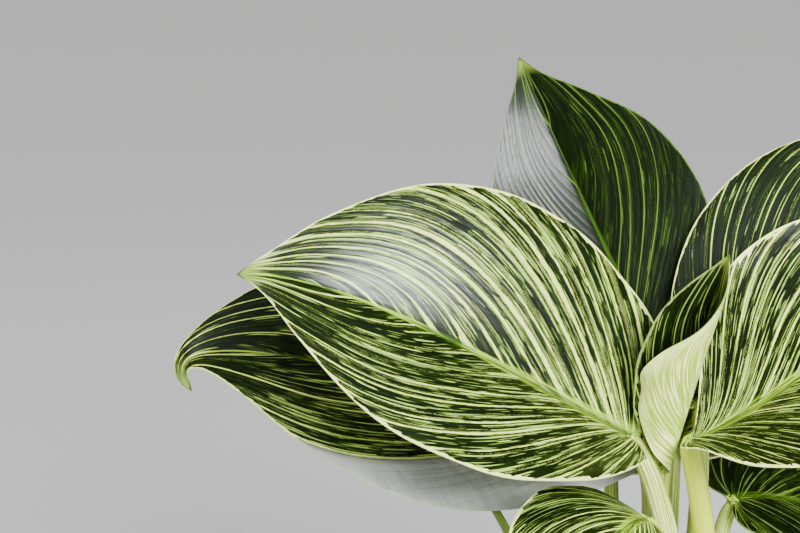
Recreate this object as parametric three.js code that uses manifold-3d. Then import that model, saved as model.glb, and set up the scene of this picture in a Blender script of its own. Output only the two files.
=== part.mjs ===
// Potted birkin philodendron: a plain clay pot, its potting mix, a short stem and sixteen leaves.
// Millimetres, +Z up. The origin is the centre of the pot's flat underside.

import * as THREE from 'three';
import { mergeVertices } from 'three/addons/utils/BufferGeometryUtils.js';
import Module from 'manifold-3d';

const wasm = await Module();
wasm.setup();

// Gap between pieces that touch, and the shortest edge that a cut may leave
const GAP = 0.35;
const SMALLEST_EDGE = 0.02;

// Pot
const POT_HEIGHT = 130;
const POT_FOOT_RADIUS = 48;
const POT_RIM_RADIUS = 77;
const POT_COLLAR_HEIGHT = 30;
const POT_COLLAR_STEP = 5;
const POT_BODY_TOP_RADIUS = 67;
const POT_BASE = 6;
const POT_INNER_RIM_RADIUS = 69;
const POT_INNER_FOOT_RADIUS = 44.5;
const POT_INNER_CORNER = 4;
const POT_ROUNDING = 3;
const POT_SIDES = 40;
const DRAIN_RADIUS = 5;
const DRAIN_CIRCLE = 26;
const DRAIN_HOLES = 4;

// Potting mix
const SOIL_EDGE_HEIGHT = 110;
const SOIL_CROWN_HEIGHT = 114;
const SOIL_SLOPE_RADIUS = 53;
const SOIL_CROWN_RADIUS = 24;

// Stem
const STEM_BOTTOM = 90;
const STEM_TOP = 180;
const STEM_RADIUS = 9;
const STEM_NODE_SWELL = 1.2;
const STEM_NODE_SPACING = 12;
const STEM_SIDES = 12;

// Blade: half its outline as shares of length and half width, from the attachment to the tip
const OUTLINE = [
  [0, 0], [-0.045, 0.17], [-0.05, 0.36], [0.03, 0.67], [0.2, 0.9], [0.42, 1],
  [0.65, 0.84], [0.83, 0.44], [0.93, 0.15], [1, 0],
];
const BLADE_THICKNESS = 0.8;
const KEEL_DEPTH = 2.2;
const KEEL_RUN = 0.04;
const ROWS = [0.05, 0.1, 0.16, 0.23, 0.31, 0.4, 0.49, 0.58, 0.67, 0.76, 0.84, 0.91, 0.96, 1];
const SHORT_LOBE = 0.5;
const FLAT_COLUMNS = [0, 0.06, 0.36, 0.68, 1];
const ROLLED_COLUMNS = [0, 0.06, 0.2, 0.34, 0.48, 0.61, 0.74, 0.87, 1];
const PETIOLE_SIDES = 7;
const PETIOLE_STEPS = 7;

// Leaves. rib: the midrib's curve as its attachment, two handles and the tip. petiole: where the stalk
// leaves the stem's axis, and two handles. stalk: its radius at the stem and at the blade. face: where
// the upper side looks, at the attachment and at the tip. The pairs in half, fold, curl, slim and lobe
// are for the left and right half, seen from above with the tip up. half: half width. fold: degrees
// that the half is turned up at the midrib, and curl: degrees that it's curled further up across its
// width, each at the attachment and at the tip. slim: how far the base is narrowed. lobe: how far the
// lobes reach back past the attachment.
const USUAL_SHAPE = {
  fold: [[10, 10], [10, 10]],
  curl: [[-15, -15], [-15, -15]],
  slim: [0, 0],
  lobe: [1, 1],
};
const LEAVES = {
  leaf_left_upper: {
    rib: [[-17, -24, 271], [-62, -48, 300], [-125, -66, 345], [-165, -52, 340]],
    petiole: [[0, 0, 155], [8, -26, 185], [-2, -24, 250]],
    stalk: [5.2, 3.8],
    face: [[-0.1, -0.9, 0.42], [-0.2, -0.8, 0.55]],
    half: [54, 64],
    fold: [[60, 10], [8, 10]],
    curl: [[-10, -10], [-30, -20]],
    slim: [0.55, 0.05],
    lobe: [0.1, 0.6],
  },
  leaf_left_lower: {
    rib: [[-10, 14, 257], [-64, 4, 279], [-213, -12, 326], [-187, -8, 286]],
    petiole: [[0, 0, 132], [-29, -2, 156], [8, 16, 226]],
    stalk: [5, 3.4],
    face: [[-0.1, -0.85, 0.5], [-0.6, -0.5, 0.6]],
    half: [49, 58],
    fold: [[5, 15], [10, 10]],
    curl: [[-20, -20], [-20, -20]],
    slim: [0.6, 0.3],
    lobe: [0.1, 0.5],
  },
  leaf_back_upright: {
    rib: [[-2, 34, 293], [-23, 50, 337], [-43, 68, 381], [-57, 58, 411]],
    petiole: [[0, 0, 142], [-12, 20, 160], [4, 29, 262]],
    stalk: [5, 3.1],
    face: [[0.05, -0.9, 0.3], [-0.25, -0.8, 0.4]],
    half: [40, 46],
    fold: [[22, 16], [8, 28]],
    curl: [[-10, -10], [-8, -8]],
  },
  leaf_new_rolled: {
    rib: [[-3, -12, 257], [3, -17, 285], [9, -40, 328], [13, -50, 347]],
    petiole: [[0, 0, 176], [-3, 2, 205], [-5, -9, 236]],
    stalk: [3.9, 2.9],
    face: [[-0.3, -0.95, 0.1], [-0.3, -0.95, 0.1]],
    half: [26, 35],
    fold: [[48, 10], [40, 40]],
    curl: [[30, 30], [230, 140]],
    slim: [0.9, 0.7],
    lobe: [0, 0],
    rolled: true,
  },
  leaf_right_back: {
    rib: [[16, 24, 273], [38, 27, 304], [66, 43, 351], [104, 56, 388]],
    petiole: [[0, 0, 146], [14, 20, 166], [18, 18, 246]],
    stalk: [5, 3.3],
    face: [[-0.1, -0.78, 0.6], [0, -0.62, 0.78]],
    half: [43, 44],
    fold: [[38, 14], [15, 15]],
    slim: [0.4, 0.2],
  },
  leaf_right_front: {
    rib: [[4, -32, 273], [33, -34, 283], [66, -54, 328], [106, -78, 359]],
    petiole: [[0, 0, 160], [28, 0, 178], [10, -19, 249]],
    stalk: [5.5, 4.2],
    face: [[0.1, -0.85, 0.5], [0.2, -0.6, 0.75]],
    half: [54, 54],
    fold: [[15, -10], [68, 10]],
    curl: [[-10, -10], [-10, -10]],
    slim: [1, 0.5],
    lobe: [0, 0.6],
  },
  leaf_front_left: {
    rib: [[-12, -44, 244], [-23, -68, 258], [-38, -98, 248], [-54, -120, 210]],
    petiole: [[0, 0, 146], [-10, -22, 162], [-9, -38, 218]],
    stalk: [5, 3.3],
    face: [[-0.2, -0.5, 0.85], [-0.4, -0.6, 0.7]],
    half: [22, 37],
    fold: [[-30, -20], [25, 20]],
    slim: [0.5, 0.2],
  },
  leaf_right_low_back: {
    rib: [[33, 34, 229], [60, 50, 231], [104, 70, 209], [150, 84, 158]],
    petiole: [[0, 0, 128], [25, 2, 148], [20, 26, 216]],
    stalk: [5, 3.2],
    face: [[0.1, -0.5, 0.85], [0.3, -0.5, 0.8]],
    half: [46, 46],
  },
  leaf_back_low: {
    rib: [[4, 52, 188], [6, 72, 199], [8, 114, 187], [10, 154, 140]],
    petiole: [[0, 0, 122], [0, 27, 132], [3, 43, 164]],
    stalk: [5, 3.2],
    face: [[0, -0.3, 0.95], [0, 0.5, 0.85]],
    half: [44, 44],
  },
  leaf_left_back_small: {
    rib: [[-74, 34, 237], [-96, 44, 254], [-129, 60, 285], [-147, 70, 296]],
    petiole: [[0, 0, 116], [-26, 17, 134], [-54, 26, 212]],
    stalk: [3.2, 1.6],
    face: [[-0.2, -0.7, 0.7], [-0.2, -0.7, 0.7]],
    half: [24, 24],
    slim: [0.2, 0.2],
  },
  leaf_back_left: {
    rib: [[-16, 46, 238], [-34, 74, 262], [-62, 112, 290], [-84, 150, 280]],
    petiole: [[0, 0, 126], [-14, 23, 144], [-18, 41, 212]],
    stalk: [4.2, 3],
    face: [[0.2, -0.6, 0.75], [0, -0.2, 0.95]],
    half: [42, 44],
    fold: [[12, 6], [12, 6]],
  },
  leaf_back_right: {
    rib: [[10, 50, 250], [26, 74, 272], [56, 106, 292], [82, 142, 276]],
    petiole: [[0, 0, 134], [5, 26, 152], [8, 43, 214]],
    stalk: [4.2, 3],
    face: [[-0.1, -0.55, 0.8], [0.2, -0.1, 0.95]],
    half: [40, 42],
    fold: [[12, 6], [12, 6]],
  },
  leaf_front_low_right: {
    rib: [[26, -36, 212], [46, -58, 222], [84, -96, 206], [112, -126, 166]],
    petiole: [[0, 0, 126], [18, -20, 148], [18, -28, 190]],
    stalk: [5, 3.2],
    face: [[-0.3, 0.2, 0.95], [0.5, -0.5, 0.7]],
    half: [44, 44],
  },
  leaf_right_low: {
    rib: [[45, 42, 176], [65, 56, 182], [100, 86, 167], [126, 116, 126]],
    petiole: [[0, 0, 117], [26, 16, 127], [36, 32, 160]],
    stalk: [4.8, 3.1],
    face: [[-0.3, -0.2, 0.95], [0.5, 0.4, 0.75]],
    half: [42, 42],
  },
  leaf_front_low: {
    rib: [[-2, -48, 190], [-4, -72, 200], [-10, -116, 186], [-14, -150, 144]],
    petiole: [[0, 0, 118], [-5, -26, 130], [-1, -40, 168]],
    stalk: [4.8, 3.1],
    face: [[0, 0.3, 0.95], [0, -0.6, 0.8]],
    half: [42, 42],
  },
  leaf_left_low: {
    rib: [[-46, -12, 190], [-70, -20, 200], [-118, -34, 186], [-150, -46, 142]],
    petiole: [[0, 0, 122], [-26, -8, 136], [-36, -10, 170]],
    stalk: [5, 3.2],
    face: [[0.3, 0, 0.95], [-0.6, 0, 0.8]],
    half: [44, 44],
  },
};

const lerp = THREE.MathUtils.lerp;
const clamp = THREE.MathUtils.clamp;
const vector = (xyz) => new THREE.Vector3(...xyz);

// Closed mesh to solid, and back

function solidOf(geometry) {
  const bare = geometry.clone();
  bare.deleteAttribute('normal');
  bare.deleteAttribute('uv');
  const merged = mergeVertices(bare, 1e-4);
  const triangles = [];
  for (let i = 0; i < merged.index.count; i += 3) {
    const corners = [0, 1, 2].map((k) => merged.index.getX(i + k));
    if (new Set(corners).size === 3) triangles.push(...corners);
  }
  const vertProperties = new Float32Array(merged.attributes.position.array);
  const triVerts = new Uint32Array(triangles);
  return new wasm.Manifold(new wasm.Mesh({ numProp: 3, vertProperties, triVerts }));
}

function geometryOf(solid) {
  const mesh = solid.getMesh();
  const geometry = new THREE.BufferGeometry();
  geometry.setAttribute('position', new THREE.BufferAttribute(mesh.vertProperties, 3));
  geometry.setIndex(new THREE.BufferAttribute(mesh.triVerts, 1));
  return geometry;
}

// A cut can leave a scrap the size of a sand grain, which isn't kept
function largestBody(solid) {
  const bodies = solid.decompose();
  const best = bodies.reduce((kept, body) => (body.volume() > kept.volume() ? body : kept));
  return best.simplify(SMALLEST_EDGE);
}

// Tube through points, with a radius at each and flat ends

function tube(points, radii, sides) {
  const rings = points.length;
  const positions = [];
  const indices = [];
  const along = (i) => {
    const next = points[Math.min(i + 1, rings - 1)];
    const last = points[Math.max(i - 1, 0)];
    return next.clone().sub(last).normalize();
  };
  let across = new THREE.Vector3(0.31, 0.95, 0.05);
  for (let i = 0; i < rings; i += 1) {
    const tangent = along(i);
    across = across.clone().addScaledVector(tangent, -across.dot(tangent)).normalize();
    const other = new THREE.Vector3().crossVectors(tangent, across);
    for (let k = 0; k < sides; k += 1) {
      const angle = (2 * Math.PI * k) / sides;
      const p = points[i].clone()
        .addScaledVector(across, radii[i] * Math.cos(angle))
        .addScaledVector(other, radii[i] * Math.sin(angle));
      positions.push(p.x, p.y, p.z);
    }
  }
  for (let i = 0; i < rings - 1; i += 1) {
    for (let k = 0; k < sides; k += 1) {
      const a = i * sides + k;
      const b = i * sides + ((k + 1) % sides);
      indices.push(a, b, b + sides, a, b + sides, a + sides);
    }
  }
  for (let k = 1; k < sides - 1; k += 1) {
    const last = (rings - 1) * sides;
    indices.push(0, k + 1, k);
    indices.push(last, last + k, last + k + 1);
  }
  const geometry = new THREE.BufferGeometry();
  geometry.setAttribute('position', new THREE.Float32BufferAttribute(positions, 3));
  geometry.setIndex(indices);
  return solidOf(geometry);
}

// Pot, potting mix and stem

function turned(profile, sides) {
  const points = profile.map(([radius, height]) => new THREE.Vector2(radius, height));
  const geometry = new THREE.LatheGeometry(points, sides);
  geometry.rotateX(Math.PI / 2);
  return solidOf(geometry);
}

const innerCornerHeight = POT_BASE + POT_INNER_CORNER;

function innerRadiusAt(height) {
  const share = (height - innerCornerHeight) / (POT_HEIGHT - innerCornerHeight);
  return lerp(POT_INNER_FOOT_RADIUS, POT_INNER_RIM_RADIUS, share);
}

function pot() {
  const collarFoot = POT_HEIGHT - POT_COLLAR_HEIGHT;
  const collarRadius = POT_BODY_TOP_RADIUS + POT_COLLAR_STEP;
  const shell = turned([
    [0, 0],
    [POT_FOOT_RADIUS - POT_ROUNDING / 2, 0],
    [POT_FOOT_RADIUS, POT_ROUNDING / 2],
    [POT_BODY_TOP_RADIUS, collarFoot],
    [collarRadius - POT_ROUNDING / 3, collarFoot + POT_ROUNDING / 3],
    [collarRadius, collarFoot + POT_ROUNDING],
    [POT_RIM_RADIUS, POT_HEIGHT - POT_ROUNDING],
    [POT_RIM_RADIUS - POT_ROUNDING / 3, POT_HEIGHT - POT_ROUNDING / 3],
    [POT_RIM_RADIUS - POT_ROUNDING, POT_HEIGHT],
    [POT_INNER_RIM_RADIUS + POT_ROUNDING / 2, POT_HEIGHT],
    [innerRadiusAt(POT_HEIGHT - POT_ROUNDING / 2), POT_HEIGHT - POT_ROUNDING / 2],
    [POT_INNER_FOOT_RADIUS, innerCornerHeight],
    [POT_INNER_FOOT_RADIUS - POT_INNER_CORNER, POT_BASE],
    [0, POT_BASE],
  ], POT_SIDES);
  let drained = shell;
  for (let i = 0; i < DRAIN_HOLES; i += 1) {
    const angle = (2 * Math.PI * (i + 0.5)) / DRAIN_HOLES;
    const drill = new THREE.CylinderGeometry(DRAIN_RADIUS, DRAIN_RADIUS, 4 * POT_BASE, 12);
    drill.rotateX(Math.PI / 2);
    drill.translate(DRAIN_CIRCLE * Math.cos(angle), DRAIN_CIRCLE * Math.sin(angle), POT_BASE / 2);
    drained = drained.subtract(solidOf(drill));
  }
  return drained;
}

function stem(extra) {
  const points = [];
  const radii = [];
  const steps = Math.round((STEM_TOP - STEM_BOTTOM) / (STEM_NODE_SPACING / 2));
  for (let i = 0; i <= steps; i += 1) {
    const height = lerp(STEM_BOTTOM, STEM_TOP, i / steps);
    const swell = i % 2 === 1 ? STEM_NODE_SWELL : 0;
    const taper = i === steps ? 0.55 : 1;
    points.push(new THREE.Vector3(0, 0, height));
    radii.push((STEM_RADIUS + swell) * taper + extra);
  }
  points[0].z -= extra;
  points[steps].z += extra;
  return tube(points, radii, STEM_SIDES);
}

function soil() {
  const floor = POT_BASE + GAP;
  const fill = turned([
    [0, floor],
    [POT_INNER_FOOT_RADIUS - POT_INNER_CORNER - GAP, floor],
    [POT_INNER_FOOT_RADIUS - GAP, innerCornerHeight],
    [innerRadiusAt(SOIL_EDGE_HEIGHT) - GAP, SOIL_EDGE_HEIGHT],
    [SOIL_SLOPE_RADIUS, lerp(SOIL_EDGE_HEIGHT, SOIL_CROWN_HEIGHT, 0.6)],
    [SOIL_CROWN_RADIUS, SOIL_CROWN_HEIGHT],
    [0, SOIL_CROWN_HEIGHT],
  ], POT_SIDES);
  return fill.subtract(stem(GAP));
}

// Blade pattern

const outlineCurve = new THREE.CatmullRomCurve3(
  OUTLINE.map(([x, y]) => new THREE.Vector3(x, y / 3, 0)),
);

// A row crosses half the blade, from the midrib at v = 0 to the margin at v = 1. It meets the margin at
// a share of the outline's length. In the lobes the rows fan out from the attachment.
function pattern(row, v) {
  const end = outlineCurve.getPointAt(row);
  const x = lerp(Math.max(0, end.x), end.x, v);
  return [x, end.y * 3 * v];
}

// Point of the bent blade over pattern point x, y; side is -1 on the left and 1 on the right
function bent(leaf, x, y, side) {
  const k = side < 0 ? 0 : 1;
  const share = clamp(x, 0, 1);
  const tangent = leaf.curve.getTangentAt(share);
  const centre = leaf.curve.getPointAt(share);
  const overrun = x < 0 ? x * leaf.lobe[k] * leaf.length : 0;
  centre.addScaledVector(tangent, overrun);
  const up = vector(leaf.face[0]).normalize().lerp(vector(leaf.face[1]).normalize(), share);
  up.addScaledVector(tangent, -up.dot(tangent)).normalize();
  const right = new THREE.Vector3().crossVectors(tangent, up);
  const run = y * leaf.half[k] * (1 - leaf.slim[k] * (1 - share) ** 6);
  const fold = THREE.MathUtils.degToRad(lerp(...leaf.fold[k], share));
  const turn = THREE.MathUtils.degToRad(lerp(...leaf.curl[k], share)) / leaf.half[k];
  const out = (Math.sin(fold + turn * run) - Math.sin(fold)) / turn;
  const rise = (Math.cos(fold) - Math.cos(fold + turn * run)) / turn;
  return centre.addScaledVector(right, side * out).addScaledVector(up, rise);
}

// The blade's middle surface as an open sheet, with the depth of the keel under each vertex
function bladeSheet(leaf) {
  const columns = leaf.rolled ? ROLLED_COLUMNS : FLAT_COLUMNS;
  const positions = [];
  const indices = [];
  for (const side of [-1, 1]) {
    const first = positions.length / 3;
    const lobe = leaf.lobe[side < 0 ? 0 : 1];
    const rows = lobe < SHORT_LOBE ? ROWS.slice(1) : ROWS;
    for (const row of rows) {
      for (const v of columns) {
        const [x, y] = pattern(row, v);
        const p = bent(leaf, x, y, side);
        positions.push(p.x, p.y, p.z);
      }
    }
    for (let i = 0; i < rows.length - 1; i += 1) {
      for (let j = 0; j < columns.length - 1; j += 1) {
        const a = first + i * columns.length + j;
        const quad = [a, a + 1, a + 1 + columns.length, a + columns.length];
        if (side < 0) quad.reverse();
        indices.push(quad[0], quad[1], quad[2], quad[0], quad[2], quad[3]);
      }
    }
  }
  const geometry = new THREE.BufferGeometry();
  geometry.setAttribute('position', new THREE.Float32BufferAttribute(positions, 3));
  geometry.setIndex(indices);
  return mergeVertices(geometry, 1e-3);
}

// A closed blade: the sheet's two faces, joined by a band along the margin
function bladeSolid(leaf) {
  const sheet = bladeSheet(leaf);
  sheet.computeVertexNormals();
  const count = sheet.attributes.position.count;
  const positions = [];
  const underside = [];
  for (let i = 0; i < count; i += 1) {
    const p = new THREE.Vector3().fromBufferAttribute(sheet.attributes.position, i);
    const normal = new THREE.Vector3().fromBufferAttribute(sheet.attributes.normal, i);
    const above = p.clone().addScaledVector(normal, BLADE_THICKNESS / 2);
    const below = p.clone().addScaledVector(normal, -BLADE_THICKNESS / 2 - keelDepth(leaf, p));
    positions.push(above.x, above.y, above.z);
    underside.push(below.x, below.y, below.z);
  }
  const faces = [];
  for (let i = 0; i < sheet.index.count; i += 3) {
    const corners = [0, 1, 2].map((k) => sheet.index.getX(i + k));
    if (new Set(corners).size === 3) faces.push(corners);
  }
  const edges = new Set(faces.flatMap(([a, b, c]) => [`${a},${b}`, `${b},${c}`, `${c},${a}`]));
  const indices = [];
  for (const [a, b, c] of faces) {
    indices.push(a, b, c, count + a, count + c, count + b);
  }
  for (const edge of edges) {
    const [a, b] = edge.split(',').map(Number);
    if (edges.has(`${b},${a}`)) continue;
    indices.push(b, a, count + a, b, count + a, count + b);
  }
  const geometry = new THREE.BufferGeometry();
  geometry.setAttribute('position', new THREE.Float32BufferAttribute([...positions, ...underside], 3));
  geometry.setIndex(indices);
  return solidOf(geometry);
}

// The midrib stands out below the blade, most of all at the attachment
function keelDepth(leaf, p) {
  for (const [share, point] of leaf.ribPoints) {
    if (point.distanceTo(p) < 1e-2) return KEEL_DEPTH * (1 - share);
  }
  return 0;
}

// Petiole from the stem's axis to the attachment, running out under the midrib
function petioleSolid(leaf) {
  const stalk = new THREE.CubicBezierCurve3(...leaf.petiole.map(vector), vector(leaf.rib[0]));
  const points = stalk.getSpacedPoints(PETIOLE_STEPS);
  const radii = points.map((p, i) => lerp(...leaf.stalk, i / PETIOLE_STEPS));
  const topRadius = leaf.stalk[1];
  const up = vector(leaf.face[0]).normalize();
  points[PETIOLE_STEPS].addScaledVector(up, -0.6 * topRadius);
  points.push(leaf.curve.getPointAt(KEEL_RUN).addScaledVector(up, -0.3 * topRadius));
  radii.push(topRadius * 0.45);
  return tube(points, radii, PETIOLE_SIDES);
}

function leafSolid(entry) {
  const curve = new THREE.CubicBezierCurve3(...entry.rib.map(vector));
  const leaf = { ...USUAL_SHAPE, ...entry, curve, length: curve.getLength() };
  leaf.ribPoints = ROWS.map((row) => {
    const [x] = pattern(row, 0);
    return [x, bent(leaf, x, 0, 1)];
  });
  const whole = bladeSolid(leaf).add(petioleSolid(leaf)).subtract(stem(GAP));
  return largestBody(whole);
}

// Materials

const finishes = {
  leaf: new THREE.MeshStandardMaterial({ color: 0x5f8a3c, roughness: 0.35, metalness: 0 }),
  stem: new THREE.MeshStandardMaterial({ color: 0x8c8f55, roughness: 0.6, metalness: 0 }),
  soil: new THREE.MeshStandardMaterial({ color: 0x33261c, roughness: 1, metalness: 0 }),
  pot: new THREE.MeshStandardMaterial({ color: 0xb4694a, roughness: 0.85, metalness: 0 }),
};

const plant = new THREE.Group();

function addPiece(name, solid, finish) {
  const piece = new THREE.Mesh(geometryOf(solid), finish);
  piece.name = name;
  plant.add(piece);
}

addPiece('pot', pot(), finishes.pot);
addPiece('soil', soil(), finishes.soil);
addPiece('stem', stem(0), finishes.stem);
for (const [name, entry] of Object.entries(LEAVES)) {
  addPiece(name, leafSolid(entry), finishes.leaf);
}

export default plant;
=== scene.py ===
# Potted birkin philodendron: the finished look of every leaf, the stem, the potting mix and the pot.
# Metres, +Z up. Sizes that repeat the part's source are in millimetres, and MM turns them into metres.
import math

import bpy
import numpy as np
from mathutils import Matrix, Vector


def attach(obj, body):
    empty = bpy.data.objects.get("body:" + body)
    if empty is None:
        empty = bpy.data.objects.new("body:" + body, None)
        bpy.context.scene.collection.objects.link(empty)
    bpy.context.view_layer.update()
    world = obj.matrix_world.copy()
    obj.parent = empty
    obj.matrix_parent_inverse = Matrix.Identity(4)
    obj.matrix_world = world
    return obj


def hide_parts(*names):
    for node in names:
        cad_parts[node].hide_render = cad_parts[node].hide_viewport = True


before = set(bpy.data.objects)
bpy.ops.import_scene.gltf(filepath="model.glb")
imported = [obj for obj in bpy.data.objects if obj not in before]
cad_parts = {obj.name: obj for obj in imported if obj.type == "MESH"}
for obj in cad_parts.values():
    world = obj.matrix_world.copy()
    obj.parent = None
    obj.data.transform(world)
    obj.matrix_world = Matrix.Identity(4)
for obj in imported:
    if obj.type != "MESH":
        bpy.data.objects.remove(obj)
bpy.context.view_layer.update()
MM = 0.001

# Blade: half its outline as shares of length and half width, from the attachment to the tip
OUTLINE = [
    (0, 0), (-0.045, 0.17), (-0.05, 0.36), (0.03, 0.67), (0.2, 0.9), (0.42, 1),
    (0.65, 0.84), (0.83, 0.44), (0.93, 0.15), (1, 0),
]
OUTLINE_STEPS = 801
BLADE_ROWS = 168
BLADE_COLUMNS = 32
COLUMN_CROWDING = 1.5
BLADE_THICKNESS = 0.75
MARGIN_THICKNESS = 0.4
MARGIN_TAPER = 4
KEEL_DEPTH = 2.0
KEEL_REACH = 1.7
KEEL_TIP_SHARE = 0.35
GROOVE_DEPTH = 0.45
GROOVE_REACH = 0.9

# Veins: those below VEIN_FAN start at the attachment and the others along the midrib. Lanes number
# the veins' net evenly, and the bands, thin lines and pillows each divide the lanes anew.
VEIN_FAN = 0.1
VEIN_START_POWER = 1.9
VEIN_SWEEP_POWER = 3.6
VEIN_TURN = 0.3
VEIN_BOW = 0.35
VEIN_BOW_GAIN = 1.6
VEIN_HOOK = 12
VEIN_HUG = 0.09
HUG_BLEND = 0.15
FAN_START = 0.03
FAN_BLEND = 0.1
LOBE_SWING = 0.2
SWING_START = 0.02
SWING_RISE = 0.08
SWING_END = 0.4
SWING_FALL = 0.3
LANE_POWER = 0.52
BANDS = 19
THIN_LINES = 52
PLAIN_BLEND = 0.03
PILLOWS = 36
PILLOW_DEPTH = 0.16
RIPPLE_DEPTH = 0.5
RIPPLES = 4.5

# Steps that curves are worked out in before they are spaced evenly
SPAN_STEPS = 60
BEZIER_STEPS = 400
RIB_STEPS = 200

# The rolled leaf's lip, where its outer margin turns back
LIP_START = 0.72
LIP_SPREAD = 0.13

# Stalk. Its run-out thins away under the midrib, over a share of the blade's length.
STALK_SIDES = 20
STALK_RINGS = 44
STALK_RUN_OUT = 0.16
STALK_END_RADIUS = 0.3
SHEATH_WIDENING = 0.35
SHEATH_SHARE = 0.3
STALK_CHANNEL = 0.16
CHANNEL_WIDTH = 0.45
STALK_TUCK = 0.85
RUN_OUT_RINGS = 12
RUN_OUT_SHARE = 0.8
RUN_OUT_POWER = 0.8
RUN_OUT_SINK = 0.9
RUN_OUT_GAP = 0.2

# Stem
STEM_BOTTOM = 90
STEM_TOP = 180
STEM_RADIUS = 9
STEM_NODE_SWELL = 1.2
STEM_NODE_SPACING = 12
STEM_NODE_SHARE = 0.16
STEM_RINGS = 181
STEM_SIDES = 48
STEM_END_ROUNDING = 0.9
SCAR_TILT = 1.6
SCAR_SPREAD = 0.05
SCAR_TURN = 2.4
SCAR_END_FADE = 3

# Potting mix
SOIL_FLOOR = 6.35
SOIL_EDGE_HEIGHT = 110
SOIL_CROWN_HEIGHT = 114
SOIL_SLOPE_RADIUS = 53
SOIL_CROWN_RADIUS = 24
SOIL_HOLE_RADIUS = 10.4
SOIL_HOLE_FLOOR = 89
SOIL_RINGS = 60
SOIL_SIDES = 160
SOIL_SLOPE_SHARE = 0.6
SOIL_UNEVENNESS = 0.9
SOIL_WAVES = (31, 19, 12, 8, 5.5, 4, 3)
SOIL_WAVE_POWER = 0.55
SOIL_WAVE_SUM = 3.5
SOIL_WAVE_DEPTH = 3
SOIL_WAVE_BLEND = 2
SOIL_EDGE_BLEND = 3
WALL_GAP = 0.35
GRAIN_AREA_RADIUS = 62
GRAIN_STEM_GAP = 3.5
GROUND_RINGS = 40
GROUND_SIDES = 120
SOIL_SEED = 8

# Pot
POT_HEIGHT = 130
POT_FOOT_RADIUS = 48
POT_RIM_RADIUS = 77
POT_COLLAR_HEIGHT = 30
POT_COLLAR_STEP = 5
POT_BODY_TOP_RADIUS = 67
POT_BASE = 6
POT_INNER_RIM_RADIUS = 69
POT_INNER_FOOT_RADIUS = 44.5
POT_INNER_CORNER = 4
POT_SIDES = 192
POT_ROUNDINGS = (2.5, 1.2, 2.2, 3.2, 2.6, 3, 1.5)
DRAIN_RADIUS = 5
DRAIN_CIRCLE = 26
DRAIN_HOLES = 4
DRAIN_SIDES = 48
POT_RING_STEP = 2.5

# Edges sharper than this, in degrees, stay sharp. Grains are turned up to half a turn, in radians.
SHARP_ANGLE = 55
HALF_TURN = 3.14

# Camera and light, in metres and degrees
LENS = 85
SENSOR_WIDTH = 36
CAMERA_PLACE = (-0.106, -0.7235, 0.4613)
CAMERA_TILT = 80
ROOM_COLOUR = (0.5, 0.51, 0.53, 1)
ROOM_STRENGTH = 0.16
KEY_PLACE = (0.356, -1.116, 0.829)
KEY_TARGET = (-0.05, 0, 0.3)
KEY_SIZE = (0.78, 0.42)
KEY_POWER = 66
KEY_COLOUR = (0.95, 0.96, 1)
SUN_FACING = (0.45, 0.45, -0.77)
SUN_STRENGTH = 3.2
SUN_SPREAD = 14
FLOOR_SIZE = 40
FLOOR_DROP = 0.0005
FLOOR_COLOUR = (0.72, 0.72, 0.71, 1)
FLOOR_ROUGHNESS = 0.8

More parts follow.
